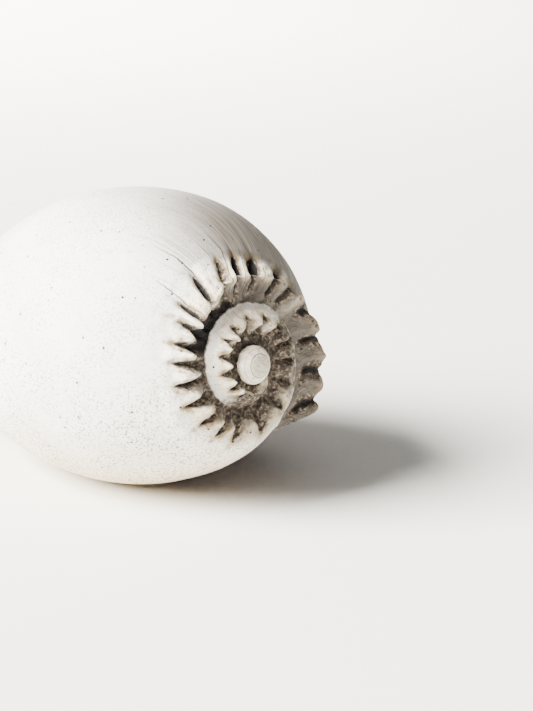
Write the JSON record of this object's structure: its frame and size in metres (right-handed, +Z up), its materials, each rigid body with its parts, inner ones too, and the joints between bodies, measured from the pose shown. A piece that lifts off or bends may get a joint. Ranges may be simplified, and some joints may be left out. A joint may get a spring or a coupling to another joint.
{
  "type": "melon shell",
  "caption": "Bleached egg-shaped sea shell lying on its open mouth, with a crown of short spines round a sunken coiled spire and a smooth domed tip.",
  "frame": {"origin": "on the floor under the middle of the shell's box", "axes": "+X along the shell's length towards the spire, +Y towards the lip, +Z up; the mouth faces down"},
  "size_m": [0.1724, 0.1374, 0.1237],
  "materials": {
    "bleached_shell": "chalky matt white, grey-brown grime and ochre stains between the spines"
  },
  "bodies": {
    "root": {"shell": "bleached_shell"}
  },
  "joints": []
}
